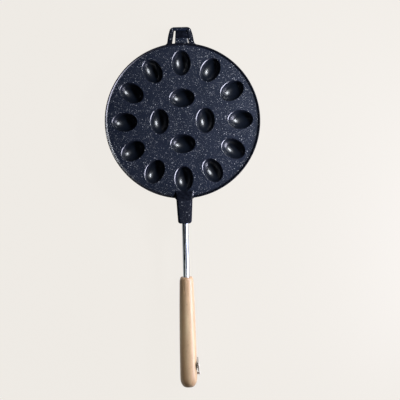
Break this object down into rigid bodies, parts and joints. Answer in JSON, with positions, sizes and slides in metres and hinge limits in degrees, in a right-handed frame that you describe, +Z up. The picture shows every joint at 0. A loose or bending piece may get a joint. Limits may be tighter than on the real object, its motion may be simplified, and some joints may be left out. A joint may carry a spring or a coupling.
{
  "type": "walnut cookie pan",
  "caption": "Hinged round stovetop iron with walnut-shaped cavities, rod handles with wooden grips and a swinging side catch.",
  "frame": {"origin": "centre of the round plates, on the surface that the iron stands on", "axes": "+Z up, +Y from the plates' centre to the hinge, -Y along the handles, +X to the side with the catch"},
  "size_m": [0.2, 0.4637, 0.0467],
  "materials": {
    "coated_aluminium": "black non-stick coating with fine pale specks over cast aluminium, satin",
    "steel_rod": "bright zinc or nickel plated steel rod",
    "beech": "turned beech, clear varnish",
    "steel_sheet": "dull sheet steel, slightly stained",
    "steel_screw": "dull plated steel screw"
  },
  "bodies": {
    "lower_half": {"lower_plate": "coated_aluminium", "lower_rod": "steel_rod", "lower_handle": "beech", "keeper_screw": "steel_screw"},
    "upper_half": {"upper_plate": "coated_aluminium", "upper_rod": "steel_rod", "upper_handle": "beech", "catch_screw": "steel_screw", "catch_washer": "steel_screw"},
    "catch": {"catch_hook": "steel_sheet"}
  },
  "joints": [
    {"name": "plate_hinge", "type": "hinge", "parent": "lower_half", "child": "upper_half", "pos_m": [0, 0.1186, 0.024], "axis": [-1, 0, 0], "range_deg": [0, 180]},
    {"name": "catch_pivot", "type": "hinge", "parent": "upper_half", "child": "catch", "pos_m": [0.01198, -0.314, 0.036], "axis": [-0.9986, -0.0523, 0], "range_deg": [-60, 20]}
  ]
}
